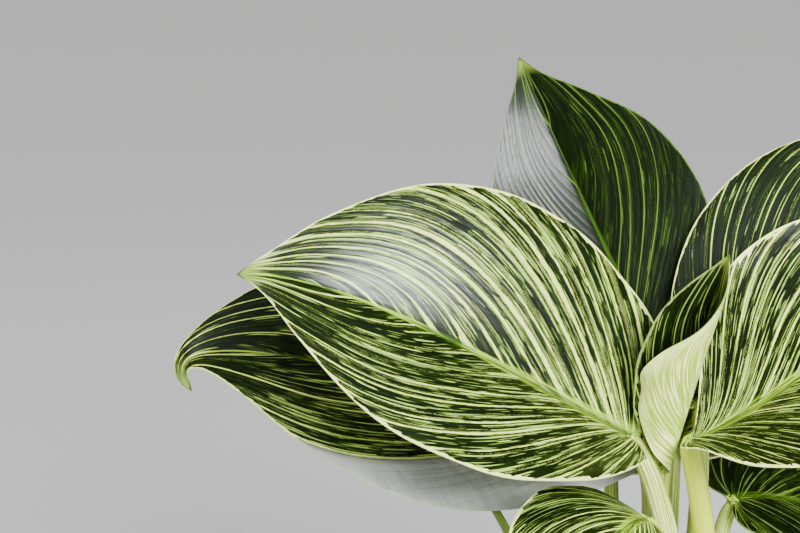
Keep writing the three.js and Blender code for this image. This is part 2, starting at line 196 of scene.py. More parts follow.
# Leaves, as in the part's source. Each has random draws of its own.
FIRST_SEED = 3
SEED_STEP = 5
SIDE_SEED_STEP = 0.37
USUAL_SHAPE = {
    "fold": [[10, 10], [10, 10]],
    "curl": [[-15, -15], [-15, -15]],
    "slim": [0, 0],
    "lobe": [1, 1],
}
LEAVES = {
    "leaf_left_upper": {
        "rib": [[-17, -24, 271], [-62, -48, 300], [-125, -66, 345], [-165, -52, 340]],
        "petiole": [[0, 0, 155], [8, -26, 185], [-2, -24, 250]],
        "stalk": [5.2, 3.8],
        "face": [[-0.1, -0.9, 0.42], [-0.2, -0.8, 0.55]],
        "half": [54, 64],
        "fold": [[60, 10], [8, 10]],
        "curl": [[-10, -10], [-30, -20]],
        "slim": [0.55, 0.05],
        "lobe": [0.1, 0.6],
    },
    "leaf_left_lower": {
        "rib": [[-10, 14, 257], [-64, 4, 279], [-213, -12, 326], [-187, -8, 286]],
        "petiole": [[0, 0, 132], [-29, -2, 156], [8, 16, 226]],
        "stalk": [5, 3.4],
        "face": [[-0.1, -0.85, 0.5], [-0.6, -0.5, 0.6]],
        "half": [49, 58],
        "fold": [[5, 15], [10, 10]],
        "curl": [[-20, -20], [-20, -20]],
        "slim": [0.6, 0.3],
        "lobe": [0.1, 0.5],
    },
    "leaf_back_upright": {
        "rib": [[-2, 34, 293], [-23, 50, 337], [-43, 68, 381], [-57, 58, 411]],
        "petiole": [[0, 0, 142], [-12, 20, 160], [4, 29, 262]],
        "stalk": [5, 3.1],
        "face": [[0.05, -0.9, 0.3], [-0.25, -0.8, 0.4]],
        "half": [40, 46],
        "fold": [[22, 16], [8, 28]],
        "curl": [[-10, -10], [-8, -8]],
    },
    "leaf_new_rolled": {
        "rib": [[-3, -12, 257], [3, -17, 285], [9, -40, 328], [13, -50, 347]],
        "petiole": [[0, 0, 176], [-3, 2, 205], [-5, -9, 236]],
        "stalk": [3.9, 2.9],
        "face": [[-0.3, -0.95, 0.1], [-0.3, -0.95, 0.1]],
        "half": [26, 35],
        "fold": [[48, 10], [40, 40]],
        "curl": [[30, 30], [230, 140]],
        "slim": [0.9, 0.7],
        "lobe": [0, 0],
        "lip": [0.52, 2.5],
    },
    "leaf_right_back": {
        "rib": [[16, 24, 273], [38, 27, 304], [66, 43, 351], [104, 56, 388]],
        "petiole": [[0, 0, 146], [14, 20, 166], [18, 18, 246]],
        "stalk": [5, 3.3],
        "face": [[-0.1, -0.78, 0.6], [0, -0.62, 0.78]],
        "half": [43, 44],
        "fold": [[38, 14], [15, 15]],
        "slim": [0.4, 0.2],
    },
    "leaf_right_front": {
        "rib": [[4, -32, 273], [33, -34, 283], [66, -54, 328], [106, -78, 359]],
        "petiole": [[0, 0, 160], [28, 0, 178], [10, -19, 249]],
        "stalk": [5.5, 4.2],
        "face": [[0.1, -0.85, 0.5], [0.2, -0.6, 0.75]],
        "half": [54, 54],
        "fold": [[15, -10], [68, 10]],
        "curl": [[-10, -10], [-10, -10]],
        "slim": [1, 0.5],
        "lobe": [0, 0.6],
    },
    "leaf_front_left": {
        "rib": [[-12, -44, 244], [-23, -68, 258], [-38, -98, 248], [-54, -120, 210]],
        "petiole": [[0, 0, 146], [-10, -22, 162], [-9, -38, 218]],
        "stalk": [5, 3.3],
        "face": [[-0.2, -0.5, 0.85], [-0.4, -0.6, 0.7]],
        "half": [22, 37],
        "fold": [[-30, -20], [25, 20]],
        "slim": [0.5, 0.2],
    },
    "leaf_right_low_back": {
        "rib": [[33, 34, 229], [60, 50, 231], [104, 70, 209], [150, 84, 158]],
        "petiole": [[0, 0, 128], [25, 2, 148], [20, 26, 216]],
        "stalk": [5, 3.2],
        "face": [[0.1, -0.5, 0.85], [0.3, -0.5, 0.8]],
        "half": [46, 46],
    },
    "leaf_back_low": {
        "rib": [[4, 52, 188], [6, 72, 199], [8, 114, 187], [10, 154, 140]],
        "petiole": [[0, 0, 122], [0, 27, 132], [3, 43, 164]],
        "stalk": [5, 3.2],
        "face": [[0, -0.3, 0.95], [0, 0.5, 0.85]],
        "half": [44, 44],
    },
    "leaf_left_back_small": {
        "rib": [[-74, 34, 237], [-96, 44, 254], [-129, 60, 285], [-147, 70, 296]],
        "petiole": [[0, 0, 116], [-26, 17, 134], [-54, 26, 212]],
        "stalk": [3.2, 1.6],
        "face": [[-0.2, -0.7, 0.7], [-0.2, -0.7, 0.7]],
        "half": [24, 24],
        "slim": [0.2, 0.2],
    },
    "leaf_back_left": {
        "rib": [[-16, 46, 238], [-34, 74, 262], [-62, 112, 290], [-84, 150, 280]],
        "petiole": [[0, 0, 126], [-14, 23, 144], [-18, 41, 212]],
        "stalk": [4.2, 3],
        "face": [[0.2, -0.6, 0.75], [0, -0.2, 0.95]],
        "half": [42, 44],
        "fold": [[12, 6], [12, 6]],
    },
    "leaf_back_right": {
        "rib": [[10, 50, 250], [26, 74, 272], [56, 106, 292], [82, 142, 276]],
        "petiole": [[0, 0, 134], [5, 26, 152], [8, 43, 214]],
        "stalk": [4.2, 3],
        "face": [[-0.1, -0.55, 0.8], [0.2, -0.1, 0.95]],
        "half": [40, 42],
        "fold": [[12, 6], [12, 6]],
    },
    "leaf_front_low_right": {
        "rib": [[26, -36, 212], [46, -58, 222], [84, -96, 206], [112, -126, 166]],
        "petiole": [[0, 0, 126], [18, -20, 148], [18, -28, 190]],
        "stalk": [5, 3.2],
        "face": [[-0.3, 0.2, 0.95], [0.5, -0.5, 0.7]],
        "half": [44, 44],
    },
    "leaf_right_low": {
        "rib": [[45, 42, 176], [65, 56, 182], [100, 86, 167], [126, 116, 126]],
        "petiole": [[0, 0, 117], [26, 16, 127], [36, 32, 160]],
        "stalk": [4.8, 3.1],
        "face": [[-0.3, -0.2, 0.95], [0.5, 0.4, 0.75]],
        "half": [42, 42],
    },
    "leaf_front_low": {
        "rib": [[-2, -48, 190], [-4, -72, 200], [-10, -116, 186], [-14, -150, 144]],
        "petiole": [[0, 0, 118], [-5, -26, 130], [-1, -40, 168]],
        "stalk": [4.8, 3.1],
        "face": [[0, 0.3, 0.95], [0, -0.6, 0.8]],
        "half": [42, 42],
    },
    "leaf_left_low": {
        "rib": [[-46, -12, 190], [-70, -20, 200], [-118, -34, 186], [-150, -46, 142]],
        "petiole": [[0, 0, 122], [-26, -8, 136], [-36, -10, 170]],
        "stalk": [5, 3.2],
        "face": [[0.3, 0, 0.95], [-0.6, 0, 0.8]],
        "half": [44, 44],
    },
}

# Markings. Pairs are for the left and right half, seen from above with the tip up. cream: how much of
# the half is striped, 0 to 1. rim: the cream margin's width. lime: how green and dim the stripes are;
# on the shaded back leaves the dim green is painted shade. plain: the veins, from the base, that bear
# no stripes, painted silvery grey as a painted sheen. dull: how little the half shines. under: how pale
# the
# underside is. stalk: how cream the stalk is, and how strongly it is streaked.
USUAL_MARKINGS = {
    "cream": [0.5, 0.5],
    "rim": [0.9, 0.9],
    "lime": 0.25,
    "plain": [0, 0],
    "dull": [0.72, 0.72],
    "under": 0.25,
    "stalk": [0.35, 0.7],
}
MARKINGS = {
    "leaf_left_upper": {
        "cream": [0.37, 0.74], "rim": [1, 1], "dull": [0.6, 0.5], "stalk": [0.85, 1],
    },
    "leaf_left_lower": {
        "cream": [0.4, 0.15], "rim": [0.8, 0.3], "lime": 0.3, "plain": [0.3, 0], "dull": [0.4, 0.4],
    },
    # The few dim green stripes on this leaf are painted shade
    "leaf_back_upright": {"cream": [0, 0.02], "rim": [0.2, 0.3], "lime": 1, "dull": [0.5, 1]},
    "leaf_new_rolled": {
        "cream": [0.12, 0.3], "rim": [0.9, 0.6], "lime": 0.8, "dull": [0.8, 0.8], "under": 1,
        "stalk": [0.7, 0.6],
    },
    "leaf_right_back": {"cream": [0, 0.16], "rim": [0.4, 0.5], "lime": 0.4, "dull": [1, 0.8]},
    "leaf_right_front": {
        "cream": [0.36, 0.22], "rim": [1.8, 1.2], "lime": 0, "dull": [0.8, 0.8], "stalk": [1, 0],
    },
    "leaf_front_left": {"cream": [0.25, 0.25], "rim": [0.8, 0.8], "lime": 0.2, "dull": [0.7, 0.7]},
    # The faint dim green stripes on this leaf are painted shade
    "leaf_right_low_back": {"cream": [0.15, 0.15], "rim": [0.3, 0.3], "lime": 0.9, "dull": [0.8, 0.8]},
    "leaf_back_low": {"cream": [0.5, 0.45]},
    "leaf_left_back_small": {"cream": [0.3, 0.4], "lime": 0.4, "stalk": [0.1, 0.2]},
    "leaf_back_left": {"cream": [0.6, 0.5]},
    "leaf_back_right": {"cream": [0.35, 0.6]},
    "leaf_front_low_right": {"cream": [0.7, 0.5], "rim": [1.2, 0.9]},
    "leaf_right_low": {"cream": [0.4, 0.5]},
    "leaf_front_low": {"cream": [0.45, 0.6]},
    "leaf_left_low": {"cream": [0.55, 0.4]},
}


# Curves

def unit(vectors):
    return vectors / np.linalg.norm(vectors, axis=-1, keepdims=True)


def clamp(values):
    return np.clip(values, 0, 1)


def turns(count):
    """Angles evenly spaced round a circle."""
    return np.linspace(0, 2 * np.pi, count, endpoint=False)


def round_axis(r, turn):
    """X and Y at a distance from the Z axis and an angle round it."""
    return r * np.cos(turn), r * np.sin(turn)


def run_along(points):
    """How far along the line each point lies."""
    return np.r_[0, np.cumsum(np.linalg.norm(np.diff(points, axis=0), axis=1))]


def even_steps(points, steps):
    """The same line as points evenly spaced along it."""
    run = run_along(points)
    even = np.linspace(0, run[-1], steps)
    return np.column_stack([np.interp(even, run, line) for line in points.T])


def smooth_curve(points, steps):
    """A centripetal Catmull-Rom curve through the points."""
    p = np.array(points, float)
    p = np.vstack([2 * p[0] - p[1], p, 2 * p[-1] - p[-2]])
    t = np.linspace(0, 1, SPAN_STEPS, endpoint=False)[:, None]
    spans = []
    for a, b, c, d in zip(p, p[1:], p[2:], p[3:]):
        ab, bc, cd = (math.sqrt(np.linalg.norm(e)) for e in (b - a, c - b, d - c))
        leave = ((b - a) / ab - (c - a) / (ab + bc) + (c - b) / bc) * bc
        arrive = ((c - b) / bc - (d - b) / (bc + cd) + (d - c) / cd) * bc
        square = 3 * (c - b) - 2 * leave - arrive
        cube = 2 * (b - c) + leave + arrive
        spans.append(b + leave * t + square * t**2 + cube * t**3)
    return even_steps(np.vstack([*spans, p[-2:-1]]), steps)


def bezier(handles, steps):
    """A cubic curve from the first handle to the last, drawn towards the two between them."""
    a, b, c, d = np.array(handles, float)
    t = np.linspace(0, 1, BEZIER_STEPS)[:, None]
    points = (1 - t)**3 * a + 3 * (1 - t)**2 * t * b + 3 * (1 - t) * t**2 * c + t**3 * d
    return even_steps(points, steps)


def tangents(points):
    """The line's direction at each point."""
    return unit(np.gradient(points, axis=0))


# Blade pattern

# The outline as a curve, how far along it each point is, and its points past the attachment
outline = smooth_curve([(x, y / 3) for x, y in OUTLINE], OUTLINE_STEPS) * (1, 3)
outline_share = np.linspace(0, 1, OUTLINE_STEPS)
ahead = np.flatnonzero((outline[:, 0] >= 0) & (outline_share > 0.05))


def half_width_at(x):
    """The outline's half width at a share of the blade's length."""
    return np.interp(x, outline[ahead, 0], outline[ahead, 1])


def vein_point(q, s):
    """Pattern point at s of the way along vein q. Veins leave the midrib, arch and run to the tip."""
    start = clamp((q - VEIN_FAN) / (1 - VEIN_FAN)) ** VEIN_START_POWER
    share = 1 - (1 - q) ** VEIN_SWEEP_POWER
    end_x = np.interp(share, outline_share, outline[:, 0])
    end_y = np.interp(share, outline_share, outline[:, 1])
    rise = clamp((q - SWING_START) / SWING_RISE)
    fall = clamp((SWING_END - q) / SWING_FALL)
    swing = LOBE_SWING * rise * fall
    x = start + (end_x - start) * s - swing * s * (1 - s)
    inner = clamp((q - VEIN_TURN) / (1 - VEIN_TURN))
    bow = VEIN_BOW + VEIN_BOW_GAIN * (1 - inner)**3
    arch = (1 - np.exp(-s / bow)) / (1 - np.exp(-1 / bow))
    across = (1 - inner) * arch + inner * s**VEIN_HOOK
    across = s + (across - s) * clamp((q - FAN_START) / FAN_BLEND)
    hug = (1 + VEIN_HUG**2) * s**2 / (s**2 + VEIN_HUG**2)
    across = across * (1 + (hug - 1) * clamp((q - VEIN_FAN) / HUG_BLEND))
    reach = np.where(end_x < 0, end_y, half_width_at(np.maximum(x, 0)))
    return x, reach * across, reach * (1 - across)


def vein_spread(x, y, rows, columns):
    """How far along its vein each point lies, and how wide all the lanes would be as they are there."""
    flat = np.stack([x, y], axis=-1).reshape(rows, columns, 2)
    steps = np.linalg.norm(np.diff(flat, axis=1), axis=-1)
    reach = np.cumsum(np.pad(steps, ((0, 0), (1, 0))), axis=1)
    down = unit(np.gradient(flat, axis=1) + 1e-9)
    beside = np.gradient(flat, 1 / (rows - 1), axis=0)
    spread = np.abs(beside[..., 0] * down[..., 1] - beside[..., 1] * down[..., 0])
    return reach.ravel(), spread.ravel()


def rib_length(leaf):
    """The midrib's length in millimetres."""
    return np.linalg.norm(np.diff(bezier(leaf["rib"], RIB_STEPS), axis=0), axis=1).sum()


def rib_frame(leaf, share):
    """The midrib's centre, direction and upper side at shares of its length."""
    rib = bezier(leaf["rib"], RIB_STEPS)
    steps = np.linspace(0, 1, RIB_STEPS)

    def at(lines):
        return np.stack([np.interp(share, steps, line) for line in lines.T], -1)

    along = unit(at(tangents(rib)))
    first, last = (unit(np.array(f, float)) for f in leaf["face"])
    up = first + (last - first) * share[..., None]
    up = unit(up - (up * along).sum(-1, keepdims=True) * along)
    return at(rib), along, up


def bend(leaf, x, y, side):
    """Points of the bent blade over the pattern; side is 0 on the left and 1 on the right."""
    share = clamp(x)
    centre, along, up = rib_frame(leaf, share)
    overrun = np.minimum(x, 0) * leaf["lobe"][side] * rib_length(leaf)
    half = leaf["half"][side]
    run = y * half * (1 - leaf["slim"][side] * (1 - share)**6)
    fold_base, fold_tip = leaf["fold"][side]
    fold = np.radians(fold_base + (fold_tip - fold_base) * share)
    curl_base, curl_tip = leaf["curl"][side]
    turn = np.radians(curl_base + (curl_tip - curl_base) * share) / half
    out = (np.sin(fold + turn * run) - np.sin(fold)) / turn
    rise = (np.cos(fold) - np.cos(fold + turn * run)) / turn
    right = np.cross(along, up) * (1 if side else -1)
    bent = centre + along * overrun[..., None] + right * out[..., None] + up * rise[..., None]
    if "lip" not in leaf or not side:
        return bent

    # The lip flares from the outside of the roll
    lip_share, lip_height = leaf["lip"]
    angle = fold + turn * run
    outwards = right * np.sin(angle)[..., None] - up * np.cos(angle)[..., None]
    edge = clamp((y / half_width_at(share) - LIP_START) / (1 - LIP_START))
    flare = lip_height * edge**2 * np.exp(-((share - lip_share) / LIP_SPREAD)**2)
    return bent + outwards * flare[..., None]


# Meshes

# The numbers of a leaf's finishes
UPPER_SKIN, UNDER_SKIN, STALK_SKIN = range(3)


class Shell:
    """Collects the faces of one piece, with what each face corner carries, then makes the piece.

    A face is four vertex numbers, and a triangle repeats one of them. The layers hold three numbers
    each. vein: the lane, the way along the vein and a seed. place: the millimetres to the midrib and to
    the margin, and the share of the length. tone and trait: the leaf's markings, and how wide all the
    lanes would be. wax: how much the skin shines.
    """

    LAYERS = ("vein", "place", "tone", "trait", "wax")

    def __init__(self):
        self.points = []
        self.count = 0
        self.faces = []
        self.finish_of = []
        self.layers = {name: [] for name in self.LAYERS}

    def add(self, points):
        """Takes in more points and gives the number of the first."""
        self.points.append(points)
        self.count += len(points)
        return self.count - len(points)

    def cover(self, faces, finish, layers):
        """Takes in faces, the number of their finish and what their corners carry."""
        self.faces.append(faces)
        self.finish_of.append(np.full(len(faces), finish))
        for name in self.LAYERS:
            self.layers[name].append(layers[name])

    def piece(self, name, finishes):
        faces = np.vstack(self.faces)
        kept = faces != np.roll(faces, 1, axis=1)
        real = kept.sum(axis=1) >= 3
        kept = kept & real[:, None]
        sizes = kept.sum(axis=1)[real]
        mesh = bpy.data.meshes.new(name)
        points = np.vstack(self.points) * MM
        mesh.vertices.add(len(points))
        mesh.vertices.foreach_set("co", points.astype(np.float32).ravel())
        mesh.loops.add(int(sizes.sum()))
        mesh.loops.foreach_set("vertex_index", faces[kept].astype(np.int32))
        mesh.polygons.add(len(sizes))
        mesh.polygons.foreach_set("loop_start", np.r_[0, np.cumsum(sizes)[:-1]].astype(np.int32))
        for finish in finishes:
            mesh.materials.append(finish)
        finish_of = np.concatenate(self.finish_of)[real]
        mesh.polygons.foreach_set("material_index", finish_of.astype(np.int32))
        mesh.update(calc_edges=True)
        for layer, values in self.layers.items():
            attribute = mesh.attributes.new(layer, "FLOAT_VECTOR", "CORNER")
            attribute.data.foreach_set("vector", np.vstack(values)[kept].astype(np.float32).ravel())
        mesh.shade_smooth()
        mesh.set_sharp_from_angle(angle=math.radians(SHARP_ANGLE))
        return added(name, mesh)


def added(name, data):
    """A new object in the scene."""
    piece = bpy.data.objects.new(name, data)
    bpy.context.scene.collection.objects.link(piece)
    return piece


def finished_mesh(piece):
    """The piece's mesh with its modifiers carried out."""
    made = piece.evaluated_get(bpy.context.evaluated_depsgraph_get())
    return bpy.data.meshes.new_from_object(made)


def vertex_normals(points, faces):
    """The mean facing of the faces round each point, larger ones counting for more."""
    a, b, c, d = (points[corner] for corner in faces.T)
    facing = np.cross(c - a, d - b)
    normals = np.zeros_like(points)
    for corner in faces.T:
        np.add.at(normals, corner, facing)
    return unit(normals + 1e-12)


def grid_faces(rows, columns, closed=False):
    """Faces between the points of a grid. A closed grid's last column meets its first."""
    i, j = np.meshgrid(np.arange(rows - 1), np.arange(columns - (not closed)), indexing="ij")
    beside = (j + 1) % columns
    row, next_row = i * columns, (i + 1) * columns
    corners = [row + j, row + beside, next_row + beside, next_row + j]
    return np.stack([corner.ravel() for corner in corners], axis=1)


def closed_faces(rings, sides):
    """Faces between rings of points, and caps from the end rings to the two points after them."""
    k = np.arange(sides)
    beside = (k + 1) % sides
    last = (rings - 1) * sides
    start = np.full(sides, rings * sides)
    end = start + 1
    first_cap = np.column_stack([beside, k, start, start])
    last_cap = np.column_stack([last + k, last + beside, end, end])
    return np.vstack([grid_faces(rings, sides, closed=True), first_cap, last_cap])


def blade_relief(leaf_seed, lane, s, share):
    """The blade swells between its veins and ripples a little along its margin."""
    rng = np.random.default_rng(leaf_seed)
    between = np.abs(2 * ((lane * PILLOWS) % 1) - 1)
    pillow = (1 - between**3) * np.sin(np.pi * clamp(s))**0.6 * (1 - lane**4)
    ripple = np.sin(2 * np.pi * (RIPPLES * share + rng.random())) * s**4 * (1 - share**3)
    return PILLOW_DEPTH * pillow + RIPPLE_DEPTH * ripple


def add_blade(shell, leaf, marks, seed):
    """The blade: its two sides, each a net along and across the veins, and the band at its margin."""
    lanes = np.linspace(0, 1, BLADE_ROWS)
    step = np.linspace(0, 1, BLADE_COLUMNS)
    columns = 0.5 * step**COLUMN_CROWDING + 0.5 * (1 - (1 - step)**COLUMN_CROWDING)
    lane, s = (grid.ravel() for grid in np.meshgrid(lanes, columns, indexing="ij"))
    q = lane ** (1 / LANE_POWER)
    x, y, short = vein_point(q, s)
    same = np.ones_like(q)
    points, relief, layers = [], [], {name: [] for name in Shell.LAYERS}
    for side in (0, 1):
        half = leaf["half"][side]
        # The veins up to the plain mark bear no stripes and get the painted silvery sheen
        bare_and_sheen = 1 - clamp((q - marks["plain"][side] + PLAIN_BLEND / 2) / PLAIN_BLEND)
        reach, spread = vein_spread(x * rib_length(leaf), y * half, BLADE_ROWS, BLADE_COLUMNS)
        points.append(bend(leaf, x, y, side))
        relief.append(blade_relief(seed + side, lane, s, clamp(x)))
        layers["vein"].append(np.column_stack([lane, reach, same * (seed + SIDE_SEED_STEP * side)]))
        layers["place"].append(np.column_stack([y * half, short * half, x]))
        tone = [marks["cream"][side], marks["lime"], marks["rim"][side]]
        layers["tone"].append(np.outer(same, tone))
        layers["trait"].append(np.column_stack([bare_and_sheen, same * marks["under"], spread]))
        layers["wax"].append(np.outer(same, [1 - marks["dull"][side], 0, 0]))
    points, relief = np.vstack(points), np.concatenate(relief)
    layers = {name: np.vstack(values) for name, values in layers.items()}
    right = grid_faces(BLADE_ROWS, BLADE_COLUMNS)
    corners = np.vstack([right[:, ::-1], right + len(q)])

    # The halves meet along the midrib, and the veins at the attachment and at the tip
    _, kept, merged = np.unique(np.round(points, 3), axis=0, return_index=True, return_inverse=True)
    faces = merged.ravel()[corners]
    middle = points[kept]
    middle = middle + vertex_normals(middle, faces) * relief[kept][:, None]
    normals = vertex_normals(middle, faces)
    run, edge, along = layers["place"][kept].T
    body = clamp(edge / MARGIN_TAPER)
    thick = MARGIN_THICKNESS + (BLADE_THICKNESS - MARGIN_THICKNESS) * body
    fade = clamp(1 - along)
    keel = KEEL_DEPTH * fade * np.exp(-(run / (KEEL_REACH * (KEEL_TIP_SHARE + fade)))**2)
    groove = GROOVE_DEPTH * fade**0.5 * np.exp(-(run / GROOVE_REACH)**2)
    top = shell.add(middle + normals * (thick / 2 - groove)[:, None])
    under = shell.add(middle - normals * (thick / 2 + keel)[:, None])
    carried = {name: values[corners] for name, values in layers.items()}
    shell.cover(faces + top, UPPER_SKIN, carried)
    turned = {name: values[:, ::-1] for name, values in carried.items()}
    shell.cover(faces[:, ::-1] + under, UNDER_SKIN, turned)
    add_margin(shell, faces, corners, layers, top, under)


def add_margin(shell, faces, corners, layers, top, under):
    """A band joins the blade's two sides along its margin."""
    starts, ends = faces.ravel(), np.roll(faces, -1, axis=1).ravel()
    source, target = corners.ravel(), np.roll(corners, -1, axis=1).ravel()
    per_side = under - top
    real = starts != ends
    open_edge = real & ~np.isin(starts * per_side + ends, (ends * per_side + starts)[real])
    a, b, source, target = (values[open_edge] for values in (starts, ends, source, target))
    band = np.column_stack([b + top, a + top, a + under, b + under])
    held = np.column_stack([target, source, source, target])
    shell.cover(band, UPPER_SKIN, {name: values[held] for name, values in layers.items()})


def even_out(path):
    """Takes the kink out of a path, where the stalk meets the midrib."""
    for _ in range(3):
        path = np.vstack([path[:1], (path[:-2] + 2 * path[1:-1] + path[2:]) / 4, path[-1:]])
    return path


def stalk_path(leaf):
    """The stalk's line and radii, from its sheath at the stem to its run-out under the midrib."""
    share = np.linspace(0, 1, STALK_RINGS)
    stalk = bezier(leaf["petiole"] + [leaf["rib"][0]], STALK_RINGS)
    foot, head = leaf["stalk"]
    radius = foot + (head - foot) * share
    radius = radius * (1 + SHEATH_WIDENING * clamp(1 - share / SHEATH_SHARE)**2)
    face = unit(np.array(leaf["face"][0], float))
    stalk = stalk - face * (share**6 * head * STALK_TUCK)[:, None]
    under_rib = np.linspace(0, STALK_RUN_OUT, RUN_OUT_RINGS)[1:]
    centre, _, up = rib_frame(leaf, under_rib)
    left = 1 - under_rib / STALK_RUN_OUT
    thin = head * RUN_OUT_SHARE * left**RUN_OUT_POWER + STALK_END_RADIUS
    run_out = centre - up * (thin * RUN_OUT_SINK + RUN_OUT_GAP)[:, None]
    return even_out(np.vstack([stalk, run_out])), np.r_[radius, thin]


def add_stalk(shell, leaf, marks, seed):
    """The stalk: rings along its path, with a channel down its upper side."""
    path, radius = stalk_path(leaf)
    along = tangents(path)
    angle = turns(STALK_SIDES)
    channel = 1 - STALK_CHANNEL * np.exp(-((angle - np.pi / 2) / CHANNEL_WIDTH)**2)
    rings = []
    across = np.cross(along[0], [0.0, 0.0, 1.0])
    for point, direction, r in zip(path, along, radius):
        across = unit(across - direction * (across @ direction))
        other = np.cross(direction, across)
        ring = np.outer(np.cos(angle) * channel, across) + np.outer(np.sin(angle) * channel, other)
        rings.append(point + ring * r)
    count = len(rings)
    first = shell.add(np.vstack([*rings, path[:1], path[-1:]]))
    faces = closed_faces(count, STALK_SIDES)

    # How far round the stalk a corner is, on past 1 at the seam, and how far from its foot
    turn = (faces % STALK_SIDES) / STALK_SIDES
    turn = np.where((turn < 0.25) & (turn.max(axis=1, keepdims=True) > 0.75), turn + 1, turn)
    far = np.minimum(faces // STALK_SIDES, count - 1) / (count - 1)
    same = np.ones_like(far)

    def carried(*numbers):
        return np.stack([same * number for number in numbers], axis=-1)

    cream, streaked = marks["stalk"]
    shell.cover(faces + first, STALK_SKIN, {
        "vein": carried(turn, far, seed),
        "place": carried(0, 0, far),
        "tone": carried(cream, marks["lime"], streaked),
        "trait": carried(0, 0, 1),
        "wax": carried(1, 0, 0),
    })


# Materials

def maths_operator(operation, reflected=False):
    """One of Python's operators, which adds a Math node. A reflected one swaps its numbers."""
    def apply(value, other):
        numbers = (other, value) if reflected else (value, other)
        return value.finish.maths(operation, *numbers)
    return apply


class Value:
    """A number in a material. Python's operators on it add Math nodes."""

    def __init__(self, finish, socket):
        self.finish = finish
        self.socket = socket

    __add__ = maths_operator("ADD")
    __radd__ = maths_operator("ADD", reflected=True)
    __sub__ = maths_operator("SUBTRACT")
    __rsub__ = maths_operator("SUBTRACT", reflected=True)
    __mul__ = maths_operator("MULTIPLY")
    __rmul__ = maths_operator("MULTIPLY", reflected=True)
    __truediv__ = maths_operator("DIVIDE")
    __rtruediv__ = maths_operator("DIVIDE", reflected=True)


class Finish:
    """A material, with the nodes that make it."""

    def __init__(self, name, surface):
        self.material = bpy.data.materials.new(name)
        self.material.use_nodes = True
        self.tree = self.material.node_tree
        self.surface = self.tree.nodes["Principled BSDF"]
        for label, value in surface.items():
            self.feed(self.surface.inputs[label], value)

    def feed(self, socket, value):
        if isinstance(value, Value):
            self.tree.links.new(value.socket, socket)
        else:
            socket.default_value = value

    def node(self, kind, settings=None, inputs=None, output=0):
        made = self.tree.nodes.new(kind)
        for label, value in (settings or {}).items():
            setattr(made, label, value)
        for label, value in (inputs or {}).items():
            self.feed(made.inputs[label], value)
        return Value(self, made.outputs[output])

    def maths(self, operation, *numbers):
        return self.node("ShaderNodeMath", {"operation": operation}, dict(enumerate(numbers)))

    def smaller(self, a, b):
        return self.maths("MINIMUM", a, b)

    def larger(self, a, b):
        return self.maths("MAXIMUM", a, b)

    def rise(self, value, low, high):
        """0 below low, 1 above high and smooth between them."""
        return self.node(
            "ShaderNodeMapRange",
            {"interpolation_type": "SMOOTHSTEP"},
            {"Value": value, "From Min": low, "From Max": high},
        )

    def fall(self, value, low, high):
        """1 below low, 0 above high and smooth between them."""
        return 1 - self.rise(value, low, high)

    def chance(self, a, b, c):
        """A number from 0 to 1 that jumps at random where a, b or c changes."""
        return self.node("ShaderNodeTexWhiteNoise", None, {"Vector": self.vector(a, b, c)})

    def vector(self, x, y, z):
        return self.node("ShaderNodeCombineXYZ", None, {0: x, 1: y, 2: z})

    def parts(self, vector):
        return [self.node("ShaderNodeSeparateXYZ", None, {0: vector}, k) for k in range(3)]

    def layer(self, name):
        """The three numbers that each face corner carries under this name."""
        return self.parts(self.node("ShaderNodeAttribute", {"attribute_name": name}, output=1))

    def here(self):
        """The place on the piece, in millimetres."""
        place = self.node("ShaderNodeTexCoord", output=3)
        return self.node("ShaderNodeVectorMath", {"operation": "SCALE"}, {0: place, "Scale": 1 / MM})

    def noise(self, place, scale=1.0, detail=2.0, roughness=0.5):
        return self.node("ShaderNodeTexNoise", None, {
            "Vector": place, "Scale": scale, "Detail": detail, "Roughness": roughness,
        })

    def mix(self, share, a, b):
        """The colour a where share is 0 and b where it is 1."""
        return self.node(
            "ShaderNodeMix", {"data_type": "RGBA"}, {0: share, 6: a, 7: b}, output=2,
        )

    def show(self, label, value):
        self.feed(self.surface.inputs[label], value)

    def finished(self, colour, roughness, relief, depth):
        """Shows the colour, the roughness and the relief, depth metres deep, and gives the material."""
        self.show("Base Color", colour)
        self.show("Roughness", roughness)
        self.show("Normal", self.node("ShaderNodeBump", None, {"Height": relief, "Distance": depth}))
        return self.material


def rgb(red, green, blue):
    """An sRGB colour of 0 to 255 as the linear colour that a socket takes."""
    shares = (red / 255, green / 255, blue / 255)
    linear = [((c + 0.055) / 1.055)**2.4 if c > 0.04045 else c / 12.92 for c in shares]
    return (*linear, 1)


# Colours. A noise blends each pair, but for the stalk's lights and shades: there the first is for a
# green stalk and the second for a cream one.
DARK_GREEN = rgb(11, 23, 1)
DEEP_GREEN = rgb(3, 8, 0)
MID_GREEN = rgb(42, 72, 6)
TIP_GREEN = rgb(126, 150, 60)
DRY_TIP = rgb(104, 62, 26)
# Painted sheen: the silvery grey of the veins that bear no stripes
PAINTED_SHEEN_GREY = rgb(168, 170, 164)
# Dim green for green stripes, and on the shaded back leaves painted shade
LIME = rgb(66, 94, 26)
PALE_GREEN = rgb(176, 208, 98)
YELLOW_GREEN = rgb(180, 212, 56)
CREAM = rgb(234, 246, 146)
UNDER_GREEN = rgb(104, 128, 74)
UNDER_RIB = rgb(162, 194, 58)
NEW_UNDER_GREEN = rgb(150, 182, 40)

STALK_GREENS = rgb(88, 116, 34), rgb(132, 158, 54)
STALK_CREAMS = rgb(184, 204, 30), rgb(218, 230, 76)
STALK_LIGHTS = rgb(186, 204, 92), rgb(238, 240, 164)
STALK_SHADES = rgb(58, 86, 20), rgb(104, 138, 34)
STALK_FOOT = rgb(128, 140, 76)

BARK_TONES = rgb(96, 92, 50), rgb(150, 140, 86)
LEAF_SCAR = rgb(112, 84, 54)
MIX_TONES = rgb(26, 18, 13), rgb(66, 48, 34)
MIX_FIBRE = rgb(104, 78, 54)

